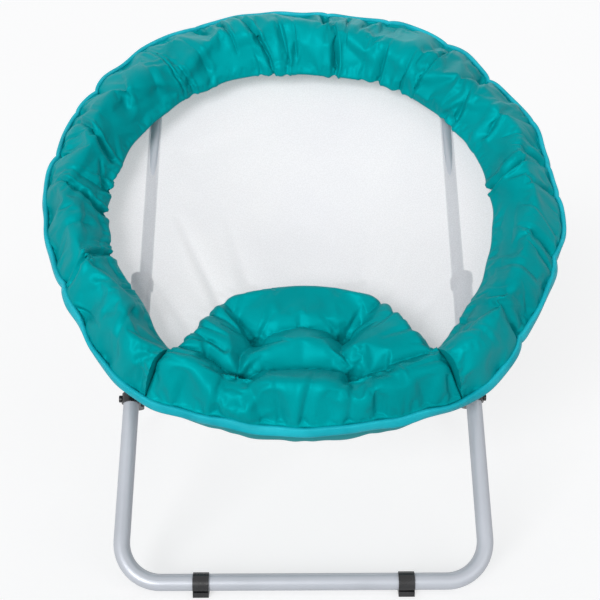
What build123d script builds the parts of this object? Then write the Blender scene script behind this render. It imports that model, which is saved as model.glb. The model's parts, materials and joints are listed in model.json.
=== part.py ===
from build123d import *
from math import asin, atan2, cos, degrees, hypot, radians, sin, sqrt, tan
import os

# Folding saucer chair, in millimetres, +Z up, the sitter facing -Y.
# The origin is the centre of the chair's footprint box, on the floor.

# ---- driving dimensions -------------------------------------------------
tube_d = 22.0            # legs and rim tube
tube_wall = 1.2
stay_d = 19.0            # back stays that slide behind the front legs
running_gap = 0.4        # clearance of sliding and turning pieces

rim_radius = 350.0       # centre line of the round rim tube
rim_tilt = 38.7          # slope of the rim from level, in degrees
rim_y = 346.0            # rim centre behind the front floor bar
rim_height = 461.5       # rim centre above the floor

front_half = 242.0       # half spacing of the front legs
front_leg_length = 447.0
front_bend = 55.0
rear_y = 600.0           # rear floor bar behind the front one
leg_gap = 8.0            # between a front leg and the rear leg outside it
rear_bend = 60.0

stay_joint_drop = 28.0   # the stays' joints below the rim plane
rear_joint_drop = 38.0   # the rear legs' joints below it, clear of the cloth as they fold
rear_joint_inset = 27.0  # the rim crosses this far inside the rear leg at its joint
leg_end_r = 8.0          # round end of the fitting in a rear leg
leg_end_half = 8.0       # half its width
leg_end_neck = 12.0      # from the tube's end to the joint
leg_end_plug = 14.0      # inside the tube
stay_inset = 5.0         # stays stand this much nearer the middle than the legs
stay_gap = 0.6           # between a front leg and its stay
stay_tip = 12.0          # stay past its rim joint
stay_end_wall = 1.5      # closed end of a stay
shoe_length = 4.0        # plastic shoe under a stay
shoe_plug = 8.0          # inside the stay
shoe_gap = 0.2           # above the stop's shelf
stop_along = 246.0       # stop clamps up the front legs
stop_length = 14.0
bolt_d = 6.0
bolt_head_d = 10.0
bolt_head_h = 3.6
nut_d = 9.2
nut_h = 3.0
cap_nut_d = 13.0         # black caps outside the rear leg joints
cap_nut_h = 6.0
pin_head_h = 2.5
rivet_head_h = 2.2
pivot_bolt_d = 8.0
pivot_head_d = 16.0
pivot_head_h = 4.7
pivot_nut_d = 13.0
pivot_nut_h = 6.5
spacer_d = 18.0
bolt_end = 1.5           # pivot bolt past its nut
pivot_play = 0.1         # round the pins in their holes
clamp_wall = 2.5         # stop clamps round the front legs
loop_wall = 3.0          # guide loops round the stays

clip_width = 21.0
clip_wall = 3.5
clip_half = 134.0        # half spacing of the floor clips
clip_foot = 27.0
clip_neck = 21.0
clip_shell = 2.7         # wall round the bar

guide_depth = 14.0       # grey guides over the front leg tips
guide_wall = 1.6
guide_round = 3.5        # rounding of their tops
loop_length = 15.0       # their loops round the stays

bracket_wall = 2.5
bracket_length = 26.0
ear_clearance = 1.3      # between a leg bracket's ear and the rear leg
bracket_top = 4.0        # brackets reach this close to the rim plane
cloth_gap = 0.5          # slits in the cloth round the brackets

cover_reach = 33.0       # padding beyond the rim's centre line
cover_bottom = -13.0     # padding below the rim plane
cover_edge = 8.0         # its rounded edges, in height
cover_edge_out = 5.0     # and in width, outside
cover_edge_in = 7.0      # and inside
hole_inset = 67.0        # opening of the padding inside the rim's centre line
hole_shift = 64.0        # its centre, towards the front
crown_back = 46.0        # top of the padding above the rim plane
crown_front = 32.0
seam_draw = 0.80         # crown left at a sewn seam
seam_pull = 14.0         # how far a seam draws the inner edge in
seam_reach = 9.0         # degrees from a seam to the full crown
section_step = 10.0      # degrees between sections of the padding
pad_half_angle = 32.5    # half of the rim arc that the seat pad covers
seam_angles = [48.0, -12.0]  # seams of the right-hand padding, in degrees from +X

binding_gap = 0.6
binding_width = 8.4
binding_height = 14.0
binding_level = -2.0     # middle of the binding above the rim plane

mesh_inset = 5.0         # edge of the mesh inside the rim's centre line
mesh_thick = 1.5
stay_clearance = 0.4     # between the mesh and the stays behind it
mesh_rim_drop = 13.6
mesh_power = 1.4         # how the bowl deepens towards its middle
mesh_side_gap = 16.0     # the middle panel ends this far inside the front legs

pad_rear = 136.0         # rear edge of the seat pad from the rim's centre
pad_rear_sweep = 58.0    # how much nearer the rim its rear corners are
pad_thick = 42.0
pad_edge_share = 0.18    # share of its depth taken by the rounded rear edge
pad_seat_gap = 0.5       # above the mesh
tuft_depth = 13.0
tuft_radius = 34.0
tuft_places = [(62.0, -243.0), (82.0, -318.0)]

wrap_drop = 36.0         # padding under the front of the rim
wrap_end_drop = 22.0     # the same at its ends
wrap_half_angle = 32.0
wrap_gap = 0.4           # under the padding
wrap_inset = 2.0         # its inner edge outside the mesh's
wrap_edge = 6.0          # thickness of that edge

# ---- places worked out from them ----------------------------------------
tube_r = tube_d / 2
stay_r = stay_d / 2
bar_height = tube_r + clip_wall
slope = radians(rim_tilt)

rim_plane = Plane(
    origin=(0, rim_y, rim_height), x_dir=(1, 0, 0), z_dir=(0, -sin(slope), cos(slope))
)


def rim_side(along, above):
    """Side-view (y, z) of a point on the rim's own axes."""
    y = rim_y + along * cos(slope) - above * sin(slope)
    z = rim_height + along * sin(slope) + above * cos(slope)
    return y, z


cover_outer = rim_radius + cover_reach
hole_radius = rim_radius - hole_inset
mesh_radius = rim_radius - mesh_inset
rear_half = front_half + tube_d + leg_gap
mesh_middle_half = front_half - tube_r - mesh_side_gap

stay_half = front_half - stay_inset
stay_back = sqrt((tube_r + stay_r + stay_gap) ** 2 - stay_inset**2)
stay_joint_along = sqrt(rim_radius**2 - stay_half**2)
stay_joint = rim_side(stay_joint_along, -stay_joint_drop)
leg_bracket_half = rear_half - rear_joint_inset
rear_joint_along = -sqrt(rim_radius**2 - leg_bracket_half**2)
rear_joint = rim_side(rear_joint_along, -rear_joint_drop)

stay_reach = hypot(stay_joint[0], stay_joint[1] - bar_height)
front_lean = atan2(stay_joint[0], stay_joint[1] - bar_height) - asin(stay_back / stay_reach)
stay_joint_up = sqrt(stay_reach**2 - stay_back**2)

rear_run = rear_y - rear_joint[0]
rear_rise = rear_joint[1] - bar_height
rear_lean = atan2(rear_run, rear_rise)
rear_joint_up = hypot(rear_run, rear_rise)

ear_out = rear_half - tube_r - ear_clearance

# The two leg frames cross where both lines meet.
cross_up = rear_y * cos(rear_lean) / sin(front_lean + rear_lean)
rear_cross_up = rear_y * cos(front_lean) / sin(front_lean + rear_lean)

front_plane = Plane(
    origin=(0, 0, bar_height), x_dir=(1, 0, 0), z_dir=(0, -cos(front_lean), sin(front_lean))
)
rear_plane = Plane(
    origin=(0, rear_y, bar_height), x_dir=(1, 0, 0), z_dir=(0, -cos(rear_lean), -sin(rear_lean))
)


# ---- small helpers --------------------------------------------------------
def rod(plane, x_from, x_to, up, out, radius):
    """A round bar along X at a point of a leg plane."""
    start = plane.from_local_coords(Vector(x_from, up, out))
    return Plane(origin=start, z_dir=(1, 0, 0)) * Cylinder(
        radius, x_to - x_from, align=(Align.CENTER, Align.CENTER, Align.MIN)
    )


def post(plane, x, up_from, up_to, out, radius):
    """A round bar along a leg."""
    start = plane.from_local_coords(Vector(x, up_from, out))
    return Plane(origin=start, z_dir=plane.y_dir) * Cylinder(
        radius, up_to - up_from, align=(Align.CENTER, Align.CENTER, Align.MIN)
    )


def slab(plane, x_from, x_to, up_from, up_to, out_from, out_to):
    box = Box(x_to - x_from, up_to - up_from, out_to - out_from)
    middle = Location(((x_from + x_to) / 2, (up_from + up_to) / 2, (out_from + out_to) / 2))
    return plane * middle * box


def pair(make):
    """The same piece on the right (+1) and on the left (-1)."""
    return [make(1), make(-1)]


def span(side, near, far):
    """Two X values in rising order on one side of the chair."""
    return sorted((side * near, side * far))


def u_frame(plane, half, length, bend):
    """A tube bent into a U: floor bar and two legs."""
    path = plane * FilletPolyline((-half, length), (-half, 0), (half, 0), (half, length), radius=bend)
    ring = Circle(tube_r) - Circle(tube_r - tube_wall)
    return sweep(Plane(origin=path @ 0, z_dir=path % 0) * ring, path=path)


def rim_torus(radius):
    return rim_plane * Torus(rim_radius, radius)


# ---- front leg frame ------------------------------------------------------
def front_leg_frame():
    frame = u_frame(front_plane, front_half, front_leg_length, front_bend)
    for side in (1, -1):
        x = side * front_half
        frame -= rod(front_plane, x - tube_d, x + tube_d, cross_up, 0, pivot_bolt_d / 2)
        stop_up = stop_along + stop_length / 2
        frame -= rod(front_plane, x - tube_d, x + tube_d, stop_up, 0, bolt_d / 2)
    return frame


def floor_clip(y, x):
    """A snap-on foot round the floor bar, open at the back."""
    shell = Pos(y, bar_height) * Circle(tube_r + clip_shell)
    foot = Pos(y, bar_height / 4) * Rectangle(clip_foot, bar_height / 2)
    neck = Pos(y, bar_height / 2) * Rectangle(clip_neck, bar_height)
    gap = Pos(y + tube_r, bar_height + tube_r) * Rectangle(tube_d * 0.75, tube_d * 0.75)
    face = shell + foot + neck - Pos(y, bar_height) * Circle(tube_r) - gap
    side_view = Plane(origin=(x - clip_width / 2, 0, 0), x_dir=(0, 1, 0), z_dir=(1, 0, 0))
    return extrude(side_view * face, clip_width)


def stay_guide(side):
    """Rounded cap on a leg tip with a loop for the stay behind it."""
    x = side * front_half
    stay_x = side * stay_half
    low = front_leg_length - guide_depth
    high = front_leg_length + guide_wall
    cap = post(front_plane, x, low, high, 0, tube_r + guide_wall)
    top = cap.faces().sort_by(Axis(front_plane.origin, front_plane.y_dir))[-1]
    cap = fillet(top.edges(), guide_round)
    loop = post(front_plane, stay_x, low, low + loop_length, -stay_back, stay_r + loop_wall)
    body = cap + loop
    body -= post(front_plane, x, low - 1, front_leg_length, 0, tube_r)
    body -= post(front_plane, stay_x, low - 1, high + loop_length, -stay_back, stay_r + running_gap)
    return body


def stay_stop(side):
    """Clamp on the leg with a shelf that the stay stands on."""
    x = side * front_half
    stay_x = side * stay_half
    top = stop_along + stop_length
    shell = post(front_plane, x, stop_along, top, 0, tube_r + clamp_wall)
    shelf = post(front_plane, stay_x, stop_along, top, -stay_back, stay_r + 1)
    web = slab(front_plane, stay_x - 7, stay_x + 7, stop_along, top, -stay_back, 0)
    body = shell + shelf + web - post(front_plane, x, stop_along - 1, top + 1, 0, tube_r)
    up = stop_along + stop_length / 2
    return body - rod(front_plane, x - tube_d, x + tube_d, up, 0, bolt_d / 2)


def stop_bolt(side):
    """Bolt through the clamp and the leg, with a round black head."""
    up = stop_along + stop_length / 2
    reach = tube_r + clamp_wall
    inner = front_half - reach
    outer = front_half + reach
    shank = rod(front_plane, *span(side, inner, outer), up, 0, bolt_d / 2)
    head = rod(front_plane, *span(side, outer, outer + bolt_head_h), up, 0, bolt_head_d / 2)
    nut = rod(front_plane, *span(side, inner - nut_h, inner), up, 0, nut_d / 2)
    return shank + head + nut


# ---- crossing pivots --------------------------------------------------------
def pivot_spacer(side):
    inner = front_half + tube_r
    outer = rear_half - tube_r
    ring = rod(front_plane, *span(side, inner, outer), cross_up, 0, spacer_d / 2)
    return ring - rod(front_plane, *span(side, inner, outer), cross_up, 0, pivot_bolt_d / 2)


def pivot_bolt(side):
    inner = front_half - tube_r - pivot_nut_h
    outer = rear_half + tube_r
    face = outer + running_gap
    shank = rod(front_plane, *span(side, inner - bolt_end, face), cross_up, 0, pivot_bolt_d / 2)
    return shank + rod(front_plane, *span(side, face, face + pivot_head_h), cross_up, 0, pivot_head_d / 2)


def pivot_nut(side):
    inner = front_half - tube_r - pivot_nut_h
    outer = front_half - tube_r
    nut = rod(front_plane, *span(side, inner, outer), cross_up, 0, pivot_nut_d / 2)
    return nut - rod(front_plane, *span(side, inner, outer), cross_up, 0, pivot_bolt_d / 2)


# ---- rear leg frame -----------------------------------------------------------
def rear_leg_frame():
    frame = u_frame(rear_plane, rear_half, rear_joint_up - leg_end_neck, rear_bend)
    for side in (1, -1):
        x = side * rear_half
        hole = pivot_bolt_d / 2 + pivot_play
        frame -= rod(rear_plane, x - tube_d, x + tube_d, rear_cross_up, 0, hole)
    return frame


def rear_leg_end(side):
    """Moulded end fitting: a plug in the tube and a round-ended tongue."""
    x = side * rear_half
    tube_end = rear_joint_up - leg_end_neck
    plug = post(rear_plane, x, tube_end - leg_end_plug, tube_end, 0, tube_r - tube_wall)
    tongue = slab(rear_plane, x - leg_end_half, x + leg_end_half, tube_end, rear_joint_up,
                  -leg_end_r, leg_end_r)
    round_end = rod(rear_plane, x - leg_end_half, x + leg_end_half, rear_joint_up, 0, leg_end_r)
    hole = rod(rear_plane, x - leg_end_half, x + leg_end_half, rear_joint_up, 0, bolt_d / 2)
    return plug + tongue + round_end - hole


def rear_joint_bolt(side):
    """Bolt across the rear leg's end, with a black cap on the outside."""
    inner = rear_half - tube_r
    outer = rear_half + leg_end_half
    shank = rod(rear_plane, *span(side, inner, outer), rear_joint_up, 0, bolt_d / 2)
    cap = rod(rear_plane, *span(side, outer, outer + cap_nut_h), rear_joint_up, 0, cap_nut_d / 2)
    return shank + cap


# ---- sliding stays ---------------------------------------------------------------
stay_foot_up = stop_along + stop_length


def stay_tube(side):
    x = side * stay_half
    low = stay_foot_up + shoe_length
    high = stay_joint_up + stay_tip
    tube = post(front_plane, x, low, high, -stay_back, stay_r)
    tube -= post(front_plane, x, low - 1, high - stay_end_wall, -stay_back, stay_r - tube_wall)
    hole = rod(front_plane, x - tube_d, x + tube_d, stay_joint_up, -stay_back, bolt_d / 2)
    return tube - hole


def stay_shoe(side):
    x = side * stay_half
    low = stay_foot_up + shoe_length
    shoe = post(front_plane, x, stay_foot_up + shoe_gap, low, -stay_back, stay_r)
    return shoe + post(front_plane, x, low, low + shoe_plug, -stay_back, stay_r - tube_wall)


def stay_joint_pin(side):
    """Pin across the stay, running in the rim bracket's cheeks."""
    reach = stay_r + running_gap + bracket_wall + running_gap
    inner = stay_half - reach
    outer = stay_half + reach
    pin = rod(front_plane, *span(side, inner, outer), stay_joint_up, -stay_back, bolt_d / 2)
    for x_range in (span(side, outer, outer + pin_head_h), span(side, inner - pin_head_h, inner)):
        pin += rod(front_plane, *x_range, stay_joint_up, -stay_back, bolt_head_d / 2)
    return pin


# ---- rim and its brackets ----------------------------------------------------------
def rim_tube():
    return rim_torus(tube_r) - rim_torus(tube_r - tube_wall)


def rim_rod(x_from, x_to, along, above, radius):
    start = rim_plane.from_local_coords(Vector(x_from, along, above))
    return Plane(origin=start, z_dir=(1, 0, 0)) * Cylinder(
        radius, x_to - x_from, align=(Align.CENTER, Align.CENTER, Align.MIN)
    )


def cheek(x_from, x_to, along, drop, top):
    """Bracket plate down round a joint."""
    half = bracket_length / 2
    plate = slab(rim_plane, x_from, x_to, along - half, along + half, -drop, top)
    return plate + rim_rod(x_from, x_to, along, -drop, half)


def stay_bracket(side):
    """Channel under the back of the rim that holds a stay."""
    half = bracket_length / 2
    inner = stay_half - stay_r - running_gap
    outer = stay_half + stay_r + running_gap
    along = stay_joint_along
    web_x = span(side, inner - bracket_wall, outer + bracket_wall)
    body = slab(rim_plane, *web_x, along - half, along + half, cover_bottom, -bracket_top)
    for x_range in (span(side, inner - bracket_wall, inner), span(side, outer, outer + bracket_wall)):
        body += cheek(*x_range, along, stay_joint_drop, -bracket_top)
    bore = rim_rod(*web_x, along, -stay_joint_drop, bolt_d / 2 + pivot_play)
    return body - bore - rim_torus(tube_r)


def leg_bracket(side):
    """Plate under the front of the rim with an ear beside a rear leg."""
    half = bracket_length / 2
    low = rear_joint_along - half
    high = rear_joint_along + half
    saddle = span(side, leg_bracket_half - tube_r, leg_bracket_half + tube_r)
    ear_x = span(side, ear_out - bracket_wall, ear_out)
    body = slab(rim_plane, *saddle, low, high, cover_bottom, -bracket_top)
    plate_top = cover_bottom + bracket_wall
    body += slab(rim_plane, *span(side, leg_bracket_half, ear_out), low, high, cover_bottom, plate_top)
    body += cheek(*ear_x, rear_joint_along, rear_joint_drop, plate_top)
    bore = rim_rod(*ear_x, rear_joint_along, -rear_joint_drop, bolt_d / 2)
    return body - bore - rim_torus(tube_r)


def leg_bracket_rivet(side):
    """Rivet in the ear, meeting the rear leg's bolt."""
    ear_in = ear_out - bracket_wall
    shank = rim_rod(*span(side, ear_in, ear_out), rear_joint_along, -rear_joint_drop, bolt_d / 2)
    head = span(side, ear_in - rivet_head_h, ear_in)
    return shank + rim_rod(*head, rear_joint_along, -rear_joint_drop, bolt_head_d / 2)


# ---- round padding --------------------------------------------------------------------
def rim_dir(angle):
    """Direction from the rim's centre at an angle on the rim plane."""
    a = radians(angle)
    return rim_plane.x_dir * cos(a) + rim_plane.y_dir * sin(a)


def rim_section(angle):
    """Plane across the rim at an angle: outward and upward axes."""
    return Plane(origin=rim_plane.origin, x_dir=rim_dir(angle), z_dir=rim_dir(angle - 90))


def hole_edge(angle):
    """Radius of the opening in the padding at an angle on the rim."""
    reach = -hole_shift * sin(radians(angle))
    return reach + sqrt(reach**2 + hole_radius**2 - hole_shift**2)


def crown(angle):
    share = (1 + sin(radians(angle))) / 2
    return crown_front + (crown_back - crown_front) * share


def padding_face(angle, fullness):
    """Section of the padding: flat below, crowned above."""
    inner = hole_edge(angle) + (1 - fullness) * seam_pull
    outer = cover_outer - (1 - fullness) * seam_pull / 3
    width = outer - inner
    top = crown(angle) * fullness
    edge = cover_bottom + cover_edge
    under_in = inner + cover_edge_in
    under_out = outer - cover_edge_out
    with BuildLine() as outline:
        Spline(
            (inner, edge), (inner + 0.12 * width, 0.58 * top), (inner + 0.45 * width, top),
            (inner + 0.84 * width, 0.74 * top), (outer, edge),
            tangents=[(0, 1), (0, -1)],
        )
        Line((outer, edge), (under_out, cover_bottom))
        Line((under_out, cover_bottom), (under_in, cover_bottom))
        Line((under_in, cover_bottom), (inner, edge))
    return rim_section(angle) * make_face(outline.line)


def padding(start, end):
    """One sewn length of padding, drawn in at its seams."""
    full = (start + seam_reach, end - seam_reach)
    count = max(3, round((full[1] - full[0]) / section_step) + 1)
    stations = [(start, seam_draw), (start + seam_reach * 0.45, (1 + seam_draw) / 2 + 0.03)]
    for i in range(count):
        stations.append((full[0] + (full[1] - full[0]) * i / (count - 1), 1.0))
    stations += [(end - seam_reach * 0.45, (1 + seam_draw) / 2 + 0.03), (end, seam_draw)]
    body = loft([padding_face(angle, fullness) for angle, fullness in stations])
    body -= rim_torus(tube_r)
    return body - bracket_room(1) - bracket_room(-1)


def bracket_room(side):
    """Slits in the cloth for the rim brackets of one side."""
    half = bracket_length / 2 + cloth_gap
    reach = stay_r + running_gap + bracket_wall + cloth_gap
    low = -rear_joint_drop - bracket_length
    high = -bracket_top + cloth_gap
    stay_x = span(side, stay_half - reach, stay_half + reach)
    leg_x = span(side, leg_bracket_half - tube_r - cloth_gap, ear_out + cloth_gap)
    room = slab(rim_plane, *stay_x, stay_joint_along - half, stay_joint_along + half, low, high)
    return room + slab(rim_plane, *leg_x, rear_joint_along - half, rear_joint_along + half, low, high)


# ---- binding, mesh and pad --------------------------------------------------------------
def rim_binding():
    """Tape sewn round the outer edge."""
    middle = cover_outer + binding_gap + binding_width / 2
    corner = binding_width / 2 - 0.4
    face = Pos(middle, binding_level) * RectangleRounded(binding_width, binding_height, corner)
    return rim_plane * revolve(Plane.XZ * face, axis=Axis.Z)


def bowl_share(radius):
    """How deep the bowl hangs at a radius, from 0 at its edge to 1 in the middle."""
    return 1 - min(radius / mesh_radius, 1.0) ** mesh_power


def bowl_depth():
    """Deepest bowl whose sides still clear the stays behind them."""
    lean = front_lean + slope
    room = []
    for step in range(1, 30):
        back = stay_joint_along * step / 30
        middle = -stay_joint_drop - (stay_joint_along - back) / tan(lean)
        for turn in (0, 20, 40, 60):
            top = middle + stay_r * cos(radians(turn)) / sin(lean)
            radius = hypot(stay_half - stay_r * sin(radians(turn)), back)
            if radius < mesh_radius:  # the bowl hangs over the stay here
                room.append((-top - mesh_thick - stay_clearance - mesh_rim_drop) / bowl_share(radius))
    return mesh_rim_drop + min(room)


def mesh_height(radius):
    """Height of the hanging mesh above the rim plane."""
    return -mesh_rim_drop - (mesh_depth - mesh_rim_drop) * bowl_share(radius)


mesh_depth = bowl_depth()


def mesh_bowl():
    steps = 8
    radii = [mesh_radius * i / steps for i in range(steps + 1)]
    rise = (mesh_depth - mesh_rim_drop) * mesh_power / mesh_radius
    upper = Spline(
        *[(radius, 0, mesh_height(radius)) for radius in radii], tangents=[(1, 0, 0), (1, 0, rise)]
    )
    lower = Pos(0, 0, -mesh_thick) * upper
    outline = upper + lower + Line(upper @ 0, lower @ 0) + Line(upper @ 1, lower @ 1)
    return rim_plane * revolve(make_face(outline), axis=Axis.Z)


def mesh_part(x_from, x_to):
    big = 2 * mesh_radius
    panel = mesh_bowl() & slab(rim_plane, x_from, x_to, -big, big, -big, big)
    return panel - bracket_room(1) - bracket_room(-1)


def pad_fullness(turn):
    return 1 - 0.3 * abs(turn / pad_half_angle) ** 3


def pad_rear_radius(turn):
    return pad_rear + pad_rear_sweep * (turn / pad_half_angle) ** 2


def pad_top(radius, turn):
    """Height of the pad's top above the rim plane."""
    share = (radius - pad_rear_radius(turn)) / (rim_radius - pad_rear_radius(turn))
    share = min(max(share / pad_edge_share, 0.0), 1.0)
    return mesh_height(radius) + pad_seat_gap + pad_thick * pad_fullness(turn) * sqrt(share * (2 - share))


def pad_face(turn):
    """Section of the seat pad on a spoke of the rim."""
    rear = pad_rear_radius(turn)
    top_radii = [rear + (rim_radius - rear) * share for share in (0.0, 0.05, 0.18, 0.45, 0.75, 1.0)]
    low_radii = [rear + (mesh_radius - rear) * share for share in (0.0, 0.33, 0.67, 1.0)]
    lip = pad_top(rim_radius, turn)
    front = cover_outer
    with BuildLine() as outline:
        Spline(*[(radius, pad_top(radius, turn)) for radius in top_radii],
               (front - 9, lip * 0.66), (front, cover_bottom + cover_edge))
        Line((front, cover_bottom + cover_edge), (front - cover_edge_out, cover_bottom))
        Line((front - cover_edge_out, cover_bottom),
             (mesh_radius, mesh_height(mesh_radius) + pad_seat_gap))
        Spline(*[(radius, mesh_height(radius) + pad_seat_gap) for radius in reversed(low_radii)])
    return rim_section(270 + turn) * make_face(outline.line)


def seat_pad():
    half = pad_half_angle - 0.1
    body = loft([pad_face(half * share) for share in (-1, -0.8, -0.45, 0, 0.45, 0.8, 1)])
    body -= rim_torus(tube_r)
    for x, along in tuft_places:
        radius = hypot(x, along)
        level = pad_top(radius, degrees(atan2(x, -along))) + tuft_radius - tuft_depth
        body -= rim_plane * (Pos(x, along, level) * Sphere(tuft_radius))
        body -= rim_plane * (Pos(-x, along, level) * Sphere(tuft_radius))
    return body - bracket_room(1) - bracket_room(-1)


def front_wrap():
    """Padded cloth carried round below the front of the rim."""
    inner = mesh_radius + wrap_inset
    top = cover_bottom - wrap_gap
    middle = (cover_outer + inner) / 2 + wrap_inset
    faces = []
    for share in (-1, -0.75, -0.4, 0, 0.4, 0.75, 1):
        drop = wrap_drop - (wrap_drop - wrap_end_drop) * share**4
        with BuildLine() as outline:
            ThreePointArc((cover_outer, top), (middle, -drop), (inner, top - wrap_edge))
            Line((inner, top - wrap_edge), (inner, top))
            Line((inner, top), (cover_outer, top))
        faces.append(rim_section(270 + wrap_half_angle * share) * make_face(outline.line))
    return loft(faces)


# ---- the whole chair ---------------------------------------------------------------------
def mirrored(angle):
    """The same place on the left of the rim."""
    return 180 - angle


def build():
    seam_back, seam_side = seam_angles
    pad_end = pad_half_angle - 90
    return {
        "front_leg_frame": front_leg_frame(),
        "front_floor_clips": pair(lambda side: floor_clip(0, side * clip_half)),
        "stay_guides": pair(stay_guide),
        "stay_stops": pair(stay_stop),
        "stop_bolts": pair(stop_bolt),
        "pivot_spacers": pair(pivot_spacer),
        "pivot_bolts": pair(pivot_bolt),
        "pivot_nuts": pair(pivot_nut),
        "rear_leg_frame": rear_leg_frame(),
        "rear_floor_clips": pair(lambda side: floor_clip(rear_y, side * clip_half)),
        "rear_leg_ends": pair(rear_leg_end),
        "rear_joint_bolts": pair(rear_joint_bolt),
        "right_stay": stay_tube(1),
        "left_stay": stay_tube(-1),
        "stay_shoes": pair(stay_shoe),
        "stay_joint_pins": pair(stay_joint_pin),
        "rim_tube": rim_tube(),
        "stay_brackets": pair(stay_bracket),
        "leg_brackets": pair(leg_bracket),
        "leg_bracket_rivets": pair(leg_bracket_rivet),
        "padding_back": padding(seam_back, mirrored(seam_back)),
        "padding_side_right": padding(seam_side, seam_back),
        "padding_side_left": padding(mirrored(seam_back), mirrored(seam_side)),
        "padding_front_right": padding(pad_end, seam_side),
        "padding_front_left": padding(mirrored(seam_side), mirrored(pad_end)),
        "rim_binding": rim_binding(),
        "seat_mesh": mesh_part(-mesh_middle_half, mesh_middle_half),
        "seat_mesh_right": mesh_part(mesh_middle_half, 2 * mesh_radius),
        "seat_mesh_left": mesh_part(-2 * mesh_radius, -mesh_middle_half),
        "seat_pad": seat_pad(),
        "front_wrap": front_wrap(),
    }


def as_solids(made):
    shapes = made if isinstance(made, list) else [made]
    return [solid for shape in shapes for solid in shape.solids()]


parts = {name: as_solids(made) for name, made in build().items()}
whole = Compound([solid for solids in parts.values() for solid in solids]).bounding_box()
to_origin = Pos(0, -(whole.min.Y + whole.max.Y) / 2, 0)

os.makedirs("parts", exist_ok=True)
for name, solids in parts.items():
    placed = [to_origin * solid for solid in solids]
    shape = placed[0] if len(placed) == 1 else Compound(placed)
    export_step(shape, f"parts/{name}.step")

print("origin shift in Y", round(to_origin.position.Y, 3))
print("front lean", round(degrees(front_lean), 2), "rear lean", round(degrees(rear_lean), 2))
print("crossing pivot", front_plane.from_local_coords(Vector(0, cross_up, 0)) + to_origin.position)
print("rear joint", [round(v, 3) for v in rear_joint], "stay joint", [round(v, 3) for v in stay_joint])
print("mesh depth", round(mesh_depth, 3))
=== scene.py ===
import json
import math

import bmesh
import bpy
import numpy as np
from mathutils import Matrix, Vector


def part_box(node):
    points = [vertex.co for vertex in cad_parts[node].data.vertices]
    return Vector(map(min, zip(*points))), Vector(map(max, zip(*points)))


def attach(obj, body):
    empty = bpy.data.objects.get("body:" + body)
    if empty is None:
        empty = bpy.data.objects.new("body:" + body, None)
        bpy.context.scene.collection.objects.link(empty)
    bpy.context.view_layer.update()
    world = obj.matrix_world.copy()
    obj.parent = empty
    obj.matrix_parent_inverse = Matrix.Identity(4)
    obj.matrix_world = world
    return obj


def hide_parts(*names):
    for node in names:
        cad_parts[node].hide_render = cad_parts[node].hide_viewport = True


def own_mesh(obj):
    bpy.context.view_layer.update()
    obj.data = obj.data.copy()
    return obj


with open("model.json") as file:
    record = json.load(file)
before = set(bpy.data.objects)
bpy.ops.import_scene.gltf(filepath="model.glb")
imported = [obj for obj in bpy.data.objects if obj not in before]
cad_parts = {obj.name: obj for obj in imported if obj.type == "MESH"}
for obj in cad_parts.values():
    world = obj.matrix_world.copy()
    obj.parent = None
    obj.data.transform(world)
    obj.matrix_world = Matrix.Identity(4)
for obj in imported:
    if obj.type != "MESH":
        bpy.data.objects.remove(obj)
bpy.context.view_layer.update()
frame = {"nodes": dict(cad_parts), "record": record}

BODY = "saucer"

# ---- the rim's own axes, taken from the frame ----------------------------------------------------
RIM_LOW, RIM_HIGH = (np.array(c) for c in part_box("rim_tube"))
TUBE_R = 0.011
RIM_R = (RIM_HIGH[0] - RIM_LOW[0]) / 2 - TUBE_R
CENTRE = (RIM_LOW + RIM_HIGH) / 2
HALF = (RIM_HIGH - RIM_LOW) / 2 - TUBE_R
COVERED_R = 0.0165       # the rim tube's radius with the cloth over it
TILT = math.atan2(HALF[2], HALF[1])
AX = np.array([1.0, 0.0, 0.0])
AS = np.array([0.0, math.cos(TILT), math.sin(TILT)])
AH = np.array([0.0, -math.sin(TILT), math.cos(TILT)])


def at(x, s, h):
    """World points for arrays on the rim's axes: across, up the slope, above the rim plane."""
    x, s, h = np.broadcast_arrays(x, s, h)
    return CENTRE + x[..., None] * AX + s[..., None] * AS + h[..., None] * AH


def polar(angle, radius, h):
    """The same from an angle in degrees (0 = right, 90 = back) and a radius."""
    a = np.radians(angle)
    return at(radius * np.cos(a), radius * np.sin(a), h)


def around(points, angle):
    """Smooth closed curve through a few (angle, value) pairs."""
    keys = sorted(points)
    a = np.array([k[0] for k in keys], float)
    v = np.array([k[1] for k in keys], float)
    a = np.concatenate([a - 360, a, a + 360])
    v = np.tile(v, 3)
    fine = np.arange(-360.0, 720.0, 0.5)
    values = np.interp(fine, a, v)
    kernel = np.hanning(17)      # rounds the corners over about 8 degrees
    values = np.convolve(values, kernel / kernel.sum(), mode="same")
    return np.interp(np.mod(angle, 360.0), fine, values)


# Where the taped edge runs: angle and radius, angle and height above the rim plane.
EDGE_RADIUS = [(3, .380), (17, .386), (27, .388), (36, .384), (49, .395), (64, .395), (80, .384),
               (93, .382), (103, .387), (114, .3915), (130, .396), (146, .392), (155, .393),
               (162, .387), (169, .382), (177, .3855), (190, .380), (203, .378), (215, .380),
               (222, .388), (232, .399), (240, .396), (251, .391), (267, .3895), (285, .391),
               (297, .400), (307, .405), (314, .402), (320, .393), (330, .388), (343, .387),
               (352, .390)]
EDGE_HEIGHT = [(0, -.002), (45, .004), (90, .006), (135, .006), (180, -.002), (213, -.006),
               (222, -.012), (236, -.026), (256, -.014), (285, -.014), (304, -.031), (317, -.020),
               (330, -.006)]
# Nicks in that edge where the tape is gathered: angle and depth. Then half their width in degrees.
NOTCHES = [(83, .0045), (67.5, .005), (51.5, .005), (36.5, .008), (20, .002), (7, .004),
           (358, .004), (341, .004), (320, .005), (148.5, .007), (156, .003), (170, .005),
           (117, .002), (206, .004)]
NOTCH_HALF = 1.5
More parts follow.
